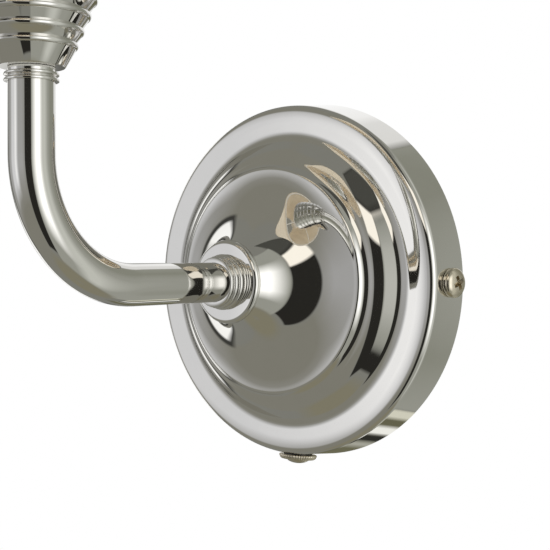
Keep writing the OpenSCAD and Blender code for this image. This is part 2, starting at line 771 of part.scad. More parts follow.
// Flex from the swing axis through the upper arm to the lampholder
module upper_flex() {
    color("white") translate([0, -lower_reach + 2, upper_z]) in_arm_plane()
        swan_bar(flex_r, upper_bend_at + 2, bend_r,
            lamp_nipple_top_z - upper_z - bend_r + 2);
}

// Lamp end
module lamp_spool() {
    color("gainsboro") at_lamp() translate([0, 0, lamp_spool_z]) spool();
}
module lamp_nipple() {
    start = lamp_spool_z + socket_depth - 3;
    color("silver") at_lamp() translate([0, 0, start]) nipple(lamp_nipple_top_z - start);
}
// Turned drip cup with the knuckle's flare and an open lip
module drip_cup() {
    turn_z = 4;
    turn_r = cup_foot_r + turn_z * tan(cup_angle);
    color("gainsboro") at_lamp() translate([0, 0, drip_z]) difference() {
        rotate_extrude() polygon(concat(
            [[0, 0], [cup_foot_r, 0], [turn_r, turn_z]],
            [for (a = [15:15:90]) [turn_r + (drip_r - 1.2 - turn_r) * sin(a),
                turn_z + 5 * (1 - cos(a))]],
            [[drip_r - 1, drip_h - 1.4]],
            arc([drip_r - 0.7, drip_h - 0.7], 0.7, -60, 180, 8),
            [[drip_r - drip_wall - 1, drip_floor + 4],
                [drip_r - drip_wall - 3, drip_floor + 1],
                [sleeve_r + 1, drip_floor], [0, drip_floor]]));
        translate([0, 0, -1]) cylinder(r = nipple_r + thread_gap, h = drip_floor + 2);
    }
}
module lamp_sleeve() {
    color("gainsboro") at_lamp() translate([0, 0, sleeve_z])
        ring(sleeve_r, sleeve_r - sleeve_t, sleeve_h);
}
// Moulded lampholder: plain body in the sleeve, flange and threaded skirt above it
module lampholder() {
    color("whitesmoke") at_lamp() difference() {
        union() {
            translate([0, 0, holder_z]) cylinder(r = holder_r, h = sleeve_h + 1);
            translate([0, 0, skirt_z]) cylinder(r = flange_r, h = flange_t);
            translate([0, 0, skirt_z]) cylinder(r = skirt_r, h = skirt_h);
        }
        translate([0, 0, holder_z - 1]) cylinder(r = nipple_r + thread_gap, h = 8);
        translate([0, 0, holder_z + 7]) cylinder(r = 6, h = shell_z - holder_z - 9);
        translate([0, 0, holder_z + 6]) cylinder(r = 1.4, h = shell_z - holder_z - 4);
        translate([0, 0, shell_z]) cylinder(r = shell_r + fit_gap, h = shell_l + 1);
    }
}
module socket_shell() {
    color("goldenrod") at_lamp() translate([0, 0, shell_z]) difference() {
        cylinder(r = shell_r, h = shell_l - 2);
        translate([0, 0, contact_t]) cylinder(r = shell_r - shell_t, h = shell_l);
        translate([0, 0, -1]) cylinder(r = 3.4, h = shell_l);
    }
}
// Centre contact on its insulating stem
module socket_contact() {
    color("goldenrod") at_lamp() translate([0, 0, shell_z]) union() {
        cylinder(r = 2.4, h = contact_t);
        translate([0, 0, -4]) cylinder(r = 1.3, h = 4.5);
    }
}
module bulb_cap() {
    color("silver") at_lamp() translate([0, 0, bulb_cap_z]) union() {
        cylinder(r1 = 3, r2 = cap_r - 1.2, h = 2);
        translate([0, 0, 2]) cylinder(r = cap_r, h = bulb_cap_l - 2);
    }
}
// Globe of the bulb: a thin shell with a neck down to the cap
module bulb_globe() {
    neck_h = globe_neck_z - bulb_cap_z - bulb_cap_l;
    base_z = bulb_cap_z + bulb_cap_l;
    throat = asin(globe_neck_r / globe_r);
    outer = concat([[globe_neck_r, base_z], [globe_neck_r + 1, base_z + neck_h + 1]],
        [for (a = [-90 + throat + 14:8:90])
            [max(0, globe_r * cos(a)), globe_z + globe_r * sin(a)]]);
    color("white") at_lamp() difference() {
        rotate_extrude() polygon(concat([[0, base_z]], outer, [[0, globe_z + globe_r]]));
        translate([0, 0, globe_z]) sphere(r = globe_r - globe_t - 0.4);
    }
}

// Shade: ring nut, wire frame with three spokes, top ring, laminated skin and folded tape
module shade_ring() {
    grips = 12;
    color("whitesmoke") at_lamp() translate([0, 0, carrier_z + carrier_t]) difference() {
        cylinder(r = ring_nut_r, h = ring_nut_h);
        translate([0, 0, -1]) cylinder(r = skirt_r + thread_gap, h = ring_nut_h + 2);
        for (k = [0:grips - 1]) rotate([0, 0, k * 360 / grips])
            translate([ring_nut_r + 0.6, 0, -1]) cylinder(r = 1.3, h = ring_nut_h + 2);
    }
}
module shade_frame() {
    hoop_r = shade_in_r(shade_z + wire_r) - wire_r / cos(shade_lean) - fit_gap;
    color("gainsboro") at_lamp() union() {
        translate([0, 0, carrier_z]) ring(carrier_r, skirt_r + hole_gap, carrier_t);
        translate([0, 0, shade_z + wire_r]) rotate_extrude() translate([hoop_r, 0])
            circle(r = wire_r, $fn = 24);
        for (k = [0:spokes - 1]) rotate([0, 0, 90 + k * 360 / spokes])
            rod([carrier_r - 1, 0, carrier_z - wire_r + 0.9], [hoop_r, 0, shade_z + wire_r],
                wire_r - 0.2);
    }
}
module shade_top_ring() {
    z = shade_top_z - wire_r;
    hoop_r = shade_in_r(z) - wire_r / cos(shade_lean) - fit_gap;
    color("gainsboro") at_lamp() translate([0, 0, z]) rotate_extrude()
        translate([hoop_r, 0]) circle(r = wire_r, $fn = 24);
}
module shade() {
    color("linen") at_lamp() lean_shell(shade_bottom_d / 2, shade_z, shade_h, shade_t);
}
module shade_trims() {
    color("antiquewhite") at_lamp() for (z = [shade_z, shade_top_z - trim_h])
        lean_shell(shade_bottom_d / 2 - (z - shade_z) * tan(shade_lean)
            + (trim_t + trim_gap) / cos(shade_lean), z, trim_h, trim_t);
}

wall_bracket();
wall_plate();
cover_screws();
terminal_block();
terminal_screws();
earth_screw();
switch_body();
switch_bezel();
switch_button();
lock_washer();
lock_nut();
arm_nipple();
arm_washer();
lower_collar();
lower_arm();
lower_flex();
knuckle_base();
pivot_nipple();
friction_washer();
stop_washer();
knuckle_nut();
knuckle_body();
stop_pin();
knuckle_cap();
knuckle_finial();
upper_nipple();
upper_collar();
upper_arm();
upper_flex();
lamp_spool();
lamp_nipple();
drip_cup();
lamp_sleeve();
lampholder();
socket_shell();
socket_contact();
bulb_cap();
bulb_globe();
shade_ring();
shade_frame();
shade_top_ring();
shade();
shade_trims();
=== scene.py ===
"""Swing arm wall light in polished nickel, with a cream fabric shade.

Outlines and places are written in millimetres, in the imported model's frame. Each piece is turned
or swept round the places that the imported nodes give, and rides on one of the three bodies.
"""
import json
import math

import bmesh
import bpy
from mathutils import Matrix, Vector


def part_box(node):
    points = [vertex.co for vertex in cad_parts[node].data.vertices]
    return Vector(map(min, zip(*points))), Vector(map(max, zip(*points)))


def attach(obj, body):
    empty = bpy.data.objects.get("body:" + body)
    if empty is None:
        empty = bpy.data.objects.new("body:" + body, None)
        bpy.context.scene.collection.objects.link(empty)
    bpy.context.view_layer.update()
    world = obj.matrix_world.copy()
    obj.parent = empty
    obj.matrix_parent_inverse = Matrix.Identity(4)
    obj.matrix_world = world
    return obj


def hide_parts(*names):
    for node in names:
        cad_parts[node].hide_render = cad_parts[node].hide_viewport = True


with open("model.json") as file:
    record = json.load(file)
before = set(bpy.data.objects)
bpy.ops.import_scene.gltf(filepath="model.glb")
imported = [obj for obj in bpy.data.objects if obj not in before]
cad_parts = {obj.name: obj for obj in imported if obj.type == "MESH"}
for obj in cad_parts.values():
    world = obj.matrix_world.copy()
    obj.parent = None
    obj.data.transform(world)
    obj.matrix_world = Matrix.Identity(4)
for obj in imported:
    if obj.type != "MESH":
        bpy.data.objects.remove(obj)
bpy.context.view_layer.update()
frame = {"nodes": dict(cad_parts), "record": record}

MM = 0.001
X, Y, Z = 0, 1, 2
SHARP_DEG = 32.0            # edges bent by more than this are shaded sharp
record = frame["record"]
nodes = frame["nodes"]
WALL = "wall_side"
SWING = "swing_side"
PUSH = "switch_push"


def sin(degrees):
    return math.sin(math.radians(degrees))


def cos(degrees):
    return math.cos(math.radians(degrees))


def tan(degrees):
    return math.tan(math.radians(degrees))


# ---------------------------------------------------------------- sizes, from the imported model
def low(node, axis):
    """Lowest coordinate of a node along an axis, in millimetres."""
    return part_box(node)[0][axis] / MM


def high(node, axis):
    """Highest coordinate of a node along an axis, in millimetres."""
    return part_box(node)[1][axis] / MM


def width(node, axis=X):
    return high(node, axis) - low(node, axis)


def middle(node, axis):
    return (high(node, axis) + low(node, axis)) / 2


back_r = 61.5               # the cover at the wall
plate_r = 60.0              # the cover at its rim
sheet_t = 0.9
band_rise = 13.4            # height of the straight part of the side band
band_slope = math.degrees(math.atan((back_r - plate_r) / band_rise))
hub_h = -high("arm_washer", Y)
hub_bore_r = 5.3
washer_t = 3.2
collar_floor = 2.0          # thickness of a collar under the tube's end
nipple_bore_r = 5.05        # in the pieces on the arms' nipples
lamp_bore_r = 5.03          # in the pieces on the lamp's nipple
tube_r = 6.35
tube_bore_r = 5.2
bend_r = 36.0
swing_y = middle("knuckle_base", Y)
lamp_y = middle("lamp_spool", Y)
upper_z = middle("upper_collar", Z)
flare_deg = 22.6            # slope of the knuckle's cup and of the drip cup
flare_foot_r = 9.2
holder_r = 14.0             # the lampholder's outer thread
bulb_cap_r = width("bulb_cap") / 2
shade_low = low("shade", Z)
shade_high = high("shade", Z)
shade_r0 = max(width("shade"), width("shade", Y)) / 2        # at the bottom
shade_r1 = 65.0                                             # at the top
shade_t = 0.9
tape_h = 10.0
lean = (shade_r0 - shade_r1) / (shade_high - shade_low)     # inwards, for each mm of height
slant = math.hypot(1, lean)                                 # along the side, for the same


# ---------------------------------------------------------------- mesh tools
def new_mesh(name, points, faces, sharp_deg=SHARP_DEG, uv=None):
    """A smooth-shaded mesh object from points in millimetres, with sharp edges past an angle."""
    mesh = bpy.data.meshes.new(name)
    mesh.from_pydata([Vector(p) * MM for p in points], [], faces)
    if uv:
        layer = mesh.uv_layers.new(name="UVMap")
        for loop, mark in zip(layer.data, uv):
            loop.uv = mark
    mesh.validate()
    mesh.polygons.foreach_set("use_smooth", [True] * len(mesh.polygons))
    mesh.set_sharp_from_angle(angle=math.radians(sharp_deg))
    piece = bpy.data.objects.new(name, mesh)
    bpy.context.scene.collection.objects.link(piece)
    return piece


def face_out(piece, sharp_deg=SHARP_DEG):
    """Turns the faces of a closed mesh outwards and marks its sharp edges anew."""
    bm = bmesh.new()
    bm.from_mesh(piece.data)
    bmesh.ops.recalc_face_normals(bm, faces=bm.faces)
    bm.to_mesh(piece.data)
    bm.free()
    piece.data.set_sharp_from_angle(angle=math.radians(sharp_deg))


def arc(centre, r, start, end, steps):
    """Points of a round stretch of an outline; angles in degrees."""
    angles = [start + (end - start) * i / steps for i in range(steps + 1)]
    return [(centre[0] + r * cos(a), centre[1] + r * sin(a)) for a in angles]


def mitred(p, before, after, t):
    """A point of an outline moved sideways by t."""
    def side(a, b):
        d = math.hypot(b[0] - a[0], b[1] - a[1])
        return (-(b[1] - a[1]) / d, (b[0] - a[0]) / d)
    m = side(before, p) if before else side(p, after)
    n = side(p, after) if after else m
    k = t / (1 + m[0] * n[0] + m[1] * n[1])
    return (p[0] + k * (m[0] + n[0]), p[1] + k * (m[1] + n[1]))


def inset(outline, t):
    """The outline moved sideways by t, with mitred corners."""
    last = len(outline) - 1
    return [mitred(p, outline[i - 1] if i else None, outline[i + 1] if i < last else None, t)
            for i, p in enumerate(outline)]


def scaled(place):
    """A placement in millimetres as one in metres."""
    out = place.copy()
    out.translation = place.translation * MM
    return out


def move(x=0.0, y=0.0, z=0.0):
    return Matrix.Translation((x, y, z))


def turn(axis, degrees):
    return Matrix.Rotation(math.radians(degrees), 4, axis)


def out_of_wall(h=0.0):
    """Local +Z points out of the wall, starting at distance h."""
    return move(0, -h, 0) @ turn("X", 90)


def along_upper_arm(at=0.0):
    """Local +Z points along the upper arm, starting at a distance from the swing axis."""
    return move(0, swing_y - at, upper_z) @ turn("X", 90)


def lathe(name, outline, place, steps=128, radius=None, sharp_deg=SHARP_DEG):
    """Turns a closed outline of (radius, height) about local +Z.

    radius(r, z, angle), where given, shapes each ring, such as with knurls or a thread.
    """
    points, faces, rings = [], [], []
    for r, z in outline:
        if r < 1e-6:
            rings.append([len(points)])
            points.append((0, 0, z))
            continue
        rings.append(list(range(len(points), len(points) + steps)))
        for k in range(steps):
            a = 2 * math.pi * k / steps
            rr = radius(r, z, a) if radius else r
            points.append((rr * math.cos(a), rr * math.sin(a), z))
    for i, here in enumerate(rings):
        there = rings[(i + 1) % len(rings)]
        if len(here) == 1 and len(there) == 1:
            continue
        for k in range(steps):
            n = (k + 1) % steps
            if len(here) == 1:
                faces.append((here[0], there[k], there[n]))
            elif len(there) == 1:
                faces.append((here[k], here[n], there[0]))
            else:
                faces.append((here[k], here[n], there[n], there[k]))
    piece = new_mesh(name, points, faces, sharp_deg)
    piece.data.transform(scaled(place))
    face_out(piece, sharp_deg)
    return piece


def tube(name, route, r, bore, steps=72):
    """A round tube along a route in the arms' plane."""
    route = [Vector(p) for p in route]
    sideways = Vector((1, 0, 0))
    frames = []
    for i, p in enumerate(route):
        ahead = route[min(i + 1, len(route) - 1)] - route[max(i - 1, 0)]
        frames.append((p, ahead.normalized().cross(sideways)))
    points, faces = [], []

    def skin(radius):
        """Adds one wall, and gives the first point of its first and last ring."""
        first = len(points)
        for p, up in frames:
            for k in range(steps):
                a = 2 * math.pi * k / steps
                points.append(p + radius * (math.cos(a) * sideways + math.sin(a) * up))
        for i in range(len(frames) - 1):
            for k in range(steps):
                n = (k + 1) % steps
                a, b = first + i * steps, first + (i + 1) * steps
                faces.append((a + k, a + n, b + n, b + k))
        return first, first + (len(frames) - 1) * steps

    start, end = skin(r)
    start_in, end_in = skin(bore)
    for k in range(steps):
        n = (k + 1) % steps
        faces.append((start + k, start_in + k, start_in + n, start + n))
        faces.append((end + k, end + n, end_in + n, end_in + k))
    piece = new_mesh(name, points, faces)
    face_out(piece)
    return piece


def swan_route(start_y, bend_y, z, top_z, steps=40):
    """Level from start_y, a quarter bend whose riser is at bend_y, then up to top_z."""
    level_end = bend_y + bend_r
    route = [(0, start_y + (level_end - start_y) * i / 6, z) for i in range(6)]
    for i in range(steps + 1):
        a = 90 * i / steps
        route.append((0, level_end - bend_r * sin(a), z + bend_r * (1 - cos(a))))
    rise = top_z - z - bend_r
    return route + [(0, bend_y, z + bend_r + rise * i / 4) for i in range(1, 5)]


def cut(piece, tools):
    """Takes the tools away from a piece and removes them."""
    bpy.context.view_layer.objects.active = piece
    for tool in tools:
        knife = piece.modifiers.new("cut", "BOOLEAN")
        knife.operation = "DIFFERENCE"
        knife.solver = "EXACT"
        knife.object = tool
        with bpy.context.temp_override(object=piece, active_object=piece):
            bpy.ops.object.modifier_apply(modifier=knife.name)
        bpy.data.objects.remove(tool)
    piece.data.polygons.foreach_set("use_smooth", [True] * len(piece.data.polygons))
    piece.data.set_sharp_from_angle(angle=math.radians(SHARP_DEG))


# ---------------------------------------------------------------- shader nodes
def shader(name):
    """A material, its node tree and its Principled shader."""
    material = bpy.data.materials.new(name)
    material.use_nodes = True
    tree = material.node_tree
    return material, tree, tree.nodes["Principled BSDF"]


def add(tree, kind, inputs):
    """A node with its named inputs set."""
    node = tree.nodes.new(kind)
    for key, value in inputs.items():
        node.inputs[key].default_value = value
    return node


def calculate(tree, operation, *inputs):
    """The value of a Math node; each input is a socket or a number."""
    node = tree.nodes.new("ShaderNodeMath")
    node.operation = operation
    for socket, value in zip(node.inputs, inputs):
        if isinstance(value, (int, float)):
            socket.default_value = value
        else:
            tree.links.new(value, socket)
    return node.outputs["Value"]


def noise(tree, scale, detail=3.0, rough=0.5, where=None):
    """Noise over a vector, or over object coordinates, where scale is per metre."""
    if where is None:
        where = tree.nodes.new("ShaderNodeTexCoord").outputs["Object"]
    cloud = add(tree, "ShaderNodeTexNoise",
                {"Scale": scale, "Detail": detail, "Roughness": rough})
    tree.links.new(where, cloud.inputs["Vector"])
    return cloud.outputs["Fac"]


def ramp(tree, source, stops):
    """A colour ramp over a 0..1 value; stops are (place, colour)."""
    node = tree.nodes.new("ShaderNodeValToRGB")
    for element, (at, colour) in zip(node.color_ramp.elements, stops):
        element.position = at
        element.color = (*colour, 1)
    tree.links.new(source, node.inputs["Fac"])
    return node.outputs["Color"]


def spread(tree, source, from_low, from_high, to_low, to_high):
    """A value mapped from one range to another, and held at its ends."""
    node = add(tree, "ShaderNodeMapRange", {"From Min": from_low, "From Max": from_high,
                                            "To Min": to_low, "To Max": to_high})
    tree.links.new(source, node.inputs["Value"])
    return node.outputs["Result"]


def bump(tree, bsdf, source, height, strength=1.0):
    node = add(tree, "ShaderNodeBump", {"Strength": strength, "Distance": height})
    tree.links.new(source, node.inputs["Height"])
    tree.links.new(node.outputs["Normal"], bsdf.inputs["Normal"])


def coat(tree, bsdf, tint, level):
    """Links a colour and a roughness to the shader."""
    tree.links.new(tint, bsdf.inputs["Base Color"])
    tree.links.new(level, bsdf.inputs["Roughness"])


# ---------------------------------------------------------------- materials
def metal(name, colour, dark, rough, rough_spread, grain=900.0, bump_mm=0.0):
    """Plated or bare metal: slight clouding of the colour and a roughness that wanders."""
    material, tree, bsdf = shader(name)
    bsdf.inputs["Metallic"].default_value = 1.0
    cloud = noise(tree, 160.0, 4.0, 0.55)
    wipe = noise(tree, grain, 5.0, 0.65)
    coat(tree, bsdf, ramp(tree, cloud, [(0.3, dark), (0.72, colour)]),
         spread(tree, wipe, 0.35, 0.7, rough, rough + rough_spread))
    if bump_mm:
        bump(tree, bsdf, wipe, bump_mm * MM)
    return material


def moulded(name, colour, dark, rough):
    """Moulded plastic or rubber: fine skin texture and faint mottling."""
    material, tree, bsdf = shader(name)
    bsdf.inputs["Specular IOR Level"].default_value = 0.5
    cloud = noise(tree, 120.0)
    skin = noise(tree, 1500.0, 2.0)
    coat(tree, bsdf, ramp(tree, cloud, [(0.3, dark), (0.7, colour)]),
         spread(tree, skin, 0.3, 0.7, rough - 0.06, rough + 0.06))
    bump(tree, bsdf, skin, 0.01 * MM)
    return material


def woven(name, colour, dark, threads=1.15):
    """Plain-woven cloth on the piece's UV, which is in millimetres. threads is per millimetre."""
    material, tree, bsdf = shader(name)
    uv = tree.nodes.new("ShaderNodeUVMap").outputs["UV"]
    slub = noise(tree, 0.05, 4.0, 0.6, uv)
    drift = noise(tree, 0.35, 2.0, 0.5, uv)
    weave = []
    for axis in ("X", "Y"):
        wave = add(tree, "ShaderNodeTexWave", {"Scale": threads * 0.32, "Distortion": 1.6,
                                               "Detail": 2.0, "Detail Scale": 0.25})
        wave.bands_direction = axis
        tree.links.new(uv, wave.inputs["Vector"])
        weave.append(wave.outputs["Fac"])
    over = calculate(tree, "MULTIPLY", *weave)
    uneven = calculate(tree, "MULTIPLY_ADD", slub, 0.3, over)
    coat(tree, bsdf, ramp(tree, uneven, [(0.1, dark), (0.6, colour)]),
         spread(tree, drift, 0.3, 0.7, 0.82, 0.95))
    bsdf.inputs["Sheen Weight"].default_value = 0.15
    bsdf.inputs["Specular IOR Level"].default_value = 0.25
    bump(tree, bsdf, uneven, 0.12 * MM, 0.8)
    return material


def opal(name, colour, dark):
    """Opal glass: milky body under a smooth skin."""
    material, tree, bsdf = shader(name)
    cloud = noise(tree, 60.0)
    coat(tree, bsdf, ramp(tree, cloud, [(0.3, dark), (0.7, colour)]),
         spread(tree, cloud, 0.3, 0.7, 0.08, 0.14))
    bsdf.inputs["Subsurface Weight"].default_value = 0.3
    bsdf.inputs["Subsurface Radius"].default_value = (0.004, 0.004, 0.004)
    return material


look = {
    "polished_nickel": metal("polished_nickel", (0.80, 0.79, 0.765), (0.785, 0.775, 0.75),
                             0.02, 0.03),
    "screw_nickel": metal("screw_nickel", (0.78, 0.72, 0.60), (0.66, 0.60, 0.48), 0.12, 0.14,
                          bump_mm=0.004),
    "zinc_steel": metal("zinc_steel", (0.66, 0.67, 0.68), (0.50, 0.51, 0.52), 0.28, 0.2,
                        grain=700.0, bump_mm=0.006),
    "brass": metal("brass", (0.80, 0.62, 0.30), (0.66, 0.48, 0.20), 0.2, 0.18, bump_mm=0.004),
    "cap_metal": metal("cap_metal", (0.78, 0.78, 0.77), (0.66, 0.66, 0.65), 0.22, 0.15,
                       bump_mm=0.004),
    "wire_metal": moulded("wire_metal", (0.80, 0.79, 0.75), (0.74, 0.73, 0.69), 0.35),
    "nylon": moulded("nylon", (0.80, 0.79, 0.73), (0.72, 0.71, 0.65), 0.45),
    "white_plastic": moulded("white_plastic", (0.83, 0.82, 0.78), (0.78, 0.77, 0.73), 0.25),
    "black_plastic": moulded("black_plastic", (0.03, 0.03, 0.03), (0.02, 0.02, 0.02), 0.4),
    "flex_sheath": moulded("flex_sheath", (0.80, 0.79, 0.75), (0.74, 0.73, 0.69), 0.5),
    "opal_glass": opal("opal_glass", (0.92, 0.91, 0.88), (0.86, 0.85, 0.82)),
    "shade_fabric": woven("shade_fabric", (0.86, 0.77, 0.61), (0.70, 0.60, 0.45)),
    "shade_tape": woven("shade_tape", (0.82, 0.72, 0.55), (0.64, 0.54, 0.39), threads=1.6),
}


def finish_piece(piece, slot, body, *replaced):
    """Gives a piece its material, its body and the nodes that it stands for."""
    piece.data.materials.clear()
    piece.data.materials.append(look[slot])
    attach(piece, body)
    if replaced:
        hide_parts(*replaced)


def dress_nodes():
    """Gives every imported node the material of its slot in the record."""
    for part in record["subparts"]:
        mesh = nodes[part["node"]].data
        if not mesh.materials:
            mesh.materials.append(None)
        for i in range(len(mesh.materials)):
            mesh.materials[i] = look[part["material_slot"]]


# ---------------------------------------------------------------- cover and arms
def cover_outline():
    """The cover's outside, from the wall inwards: (radius, distance from the wall).

    The rim is a little crowned. Inside it the cover runs in one soft wave: up over a round
    shoulder, along a narrow ledge, up a small cove to a thin edge, and then up the flared hub.
    """
    rim_edge_h, round_r, crown = 14.99, 2.6, 6
    # Each stretch: a bend's radius, or the length where the slope stays, and its two slopes
    wave = [(38.0, crown, 0), (2.3, 0, 0), (9.0, 0, 14), (4.2, 14, 45), (3.4, 45, 45),
            (11.5, 45, 26), (6.0, 26, 17), (4.6, 17, 60), (1.3, 60, 8)]
    bend_steps, hub_steps = 14, 64
    foot_slope, top_r = 8, 12.3
    out = [(back_r, 0)]
    out += arc((plate_r - round_r, rim_edge_h - round_r), round_r, 0, 90 - crown, 16)
    for size, start, end in wave:
        steps = 1 if start == end else bend_steps
        for i in range(steps):
            slope = start + (end - start) * (i + 0.5) / steps
            run = size if start == end else size * math.radians(abs(end - start)) / steps
            r, h = out[-1]
            out.append((r - run * cos(slope), h + run * sin(slope)))
    foot = out[-1]
    top_slope = 2 * math.degrees(math.atan2(hub_h - foot[1], foot[0] - top_r)) - foot_slope
    hub_r = (foot[0] - top_r) / (sin(top_slope) - sin(foot_slope))
    centre = (foot[0] + hub_r * sin(foot_slope), foot[1] + hub_r * cos(foot_slope))
    for i in range(1, hub_steps + 1):
        a = foot_slope + (top_slope - foot_slope) * i / hub_steps
        out.append((centre[0] - hub_r * sin(a), centre[1] - hub_r * cos(a)))
    return out + [(hub_bore_r, out[-1][1])]


def build_cover():
    outside = cover_outline()
    inside = inset(outside, sheet_t)
    inside[0] = (inside[0][0], 0)
    shell = outside + inside[::-1]
    piece = lathe("cover_shell", shell, out_of_wall(), steps=256, sharp_deg=40)
    finish_piece(piece, "polished_nickel", WALL, "wall_plate")


def build_washer():
    r = width("arm_washer") / 2
    t = width("arm_washer", Y)
    round_r = 1.5
    outline = [(hub_bore_r, 0)] + arc((r - round_r, round_r), round_r, -90, 0, 12)
    outline += arc((r - round_r, t - round_r), round_r, 0, 90, 12) + [(hub_bore_r, t)]
    piece = lathe("hub_washer", outline, out_of_wall(hub_h), steps=160)
    finish_piece(piece, "polished_nickel", WALL, "arm_washer")


def build_collar(name, place, body, node):
    """Three rounded reeds, each smaller than the last, with a socket for the tube."""
    length, reeds, big_r, step_r, round_r = 5.4, 3, 9.0, 0.45, 0.42
    reed = length / reeds
    socket_r = tube_r + 0.03
    outline = [(nipple_bore_r, 0)]
    for k in range(reeds):
        r = big_r - step_r * k
        outline += [(r - round_r + round_r * cos(a), reed * (k + 0.5 + 0.48 * sin(a)))
                    for a in range(-80, 81, 10)]
    outline += [(socket_r, length), (socket_r, collar_floor), (nipple_bore_r, collar_floor)]
    piece = lathe(name, outline, place)
    finish_piece(piece, "polished_nickel", body, node)


def build_collars():
    build_collar("hub_collar", out_of_wall(hub_h + washer_t), WALL, "lower_collar")
    upper_place = along_upper_arm(swing_y - high("upper_collar", Y))
    build_collar("knuckle_collar", upper_place, SWING, "upper_collar")


def build_arms():
    lower_start = -(hub_h + washer_t + collar_floor)
    route = swan_route(lower_start, swing_y, 0.0, high("lower_arm", Z))
    piece = tube("lower_tube", route, tube_r, tube_bore_r)
    finish_piece(piece, "polished_nickel", WALL, "lower_arm")
    route = swan_route(high("upper_arm", Y), lamp_y, upper_z, high("upper_arm", Z))
    piece = tube("upper_tube", route, tube_r, tube_bore_r)
    finish_piece(piece, "polished_nickel", SWING, "upper_arm")


def build_spool(name, y, body, node):
    """Two lips with a groove between them, and a narrower neck on top."""
    r = width(node) / 2
    h, lip, edge = 2.4, 0.8, 0.25
    neck_h, neck_r = 0.9, 6.3
    socket_r, socket_depth = 6.4, 1.6
    outline = [(socket_r, 0), (r - edge, 0)]
    outline += arc((r - edge, edge), edge, -90, 0, 4)
    outline += arc((r - edge, lip - edge), edge, 0, 90, 4)
    outline += arc((r - 0.5, h / 2), h / 2 - lip, 270, 90, 6)
    outline += arc((r - edge, h - lip + edge), edge, -90, 0, 4)
    outline += arc((r - edge, h - edge), edge, 0, 90, 4)
    outline += [(neck_r + 0.2, h), (neck_r, h + 0.2), (neck_r, h + neck_h),
                (nipple_bore_r, h + neck_h), (nipple_bore_r, socket_depth),
                (socket_r, socket_depth)]
    piece = lathe(name, outline, move(0, y, low(node, Z)))
    finish_piece(piece, "polished_nickel", body, node)


# ---------------------------------------------------------------- knuckle
# Rounded reeds round the knuckle's cup: (height over its foot, radius)
cup_reeds = [(5.8, 0.9), (9.7, 0.9), (14.0, 1.0), (18.3, 1.0), (22.6, 1.0), (26.9, 1.0)]
cup_h = width("knuckle_body", Z)
cup_top_r = flare_foot_r + cup_h * tan(flare_deg)
cup_thread_r = cup_top_r - 3.1


def build_knuckle_cup():
    """A flared cup with reeds, threaded inside its mouth, and a boss for the upper arm."""
    floor_t, wall, edge, thread_l = 4.0, 1.6, 0.3, 3.5
    flare = tan(flare_deg)
    thread_h = cup_h - thread_l
    in_r = flare_foot_r + floor_t * flare - wall / cos(flare_deg)
    outline = [(nipple_bore_r, 0), (flare_foot_r - edge, 0), (flare_foot_r, edge)]
    for h, reed_r in cup_reeds:
        outline += arc((flare_foot_r + h * flare, h), reed_r, -75, 75, 12)
    outline += [(cup_top_r, cup_h), (cup_thread_r, cup_h), (cup_thread_r, thread_h),
                (in_r + (thread_h - floor_t) * flare - 1, thread_h), (in_r, floor_t),
                (nipple_bore_r, floor_t)]
    place = move(0, swing_y, low("knuckle_body", Z))
    piece = lathe("knuckle_cup", outline, place, steps=192)
    finish_piece(piece, "polished_nickel", SWING, "knuckle_body")
    boss_r, boss_start, boss_end = 8.7, 12, cup_top_r + 2
    ring = [(nipple_bore_r, boss_start), (boss_r, boss_start), (boss_r, boss_end - edge),
            (boss_r - edge, boss_end), (nipple_bore_r, boss_end)]
    piece = lathe("knuckle_boss", ring, along_upper_arm())
    finish_piece(piece, "polished_nickel", SWING)


def build_knuckle_cap():
    """A rounded rim and a low dome, with a skirt that screws into the cup."""
    skirt_h, skirt_r, rim_r, rise, neck_r = 3, cup_thread_r - 0.03, 1, 6.0, 5.0
    rim_h = 2 * rim_r
    outline = [(0, -skirt_h), (skirt_r, -skirt_h), (skirt_r, 0)]
    outline += arc((cup_top_r - 0.4, rim_r), rim_r, -80, 80, 14)
    outline += [(neck_r + (cup_top_r - neck_r - 0.8) * cos(a), rim_h + rise * sin(a))
                for a in range(0, 91, 5)]
    outline += [(0, rim_h + rise)]
    place = move(0, swing_y, low("knuckle_cap", Z) + skirt_h)
    piece = lathe("knuckle_dome", outline, place, steps=192)
    finish_piece(piece, "polished_nickel", SWING, "knuckle_cap")


def build_finial():
    """A round foot, a waisted neck, a ball and a small tip, on a threaded stub."""
    stub_h, stub_r = 4, 3
    foot_r, foot_h = 5.6, 1.6
    neck_h, ball_r, tip_r = 4.5, 4.5, 1.9
    ball_z = foot_h + neck_h + ball_r - 0.7
    tip_z = ball_z + ball_r + tip_r
    outline = [(0, -stub_h), (stub_r, -stub_h), (stub_r, 0), (foot_r - 0.8, 0)]
    outline += arc((foot_r - 0.8, foot_h / 2), foot_h / 2, -90, 90, 10)
    outline += [(3.4 - 1.0 * (i / 6) ** 0.6, foot_h + 0.8 * i / 6) for i in range(1, 7)]
    outline += [(2.3, foot_h + 1.6), (2.2, foot_h + neck_h - 0.3)]
    outline += [(ball_r * sin(a), ball_z - ball_r * cos(a)) for a in range(35, 161, 5)]
    outline += [(1.5, ball_z + ball_r + 0.3)]
    outline += [(tip_r * sin(a), tip_z - tip_r * cos(a)) for a in range(60, 180, 10)]
    outline += [(0, tip_z + tip_r)]
    place = move(0, swing_y, low("knuckle_finial", Z) + stub_h)
    piece = lathe("knuckle_ball", outline, place)
    finish_piece(piece, "polished_nickel", SWING, "knuckle_finial")


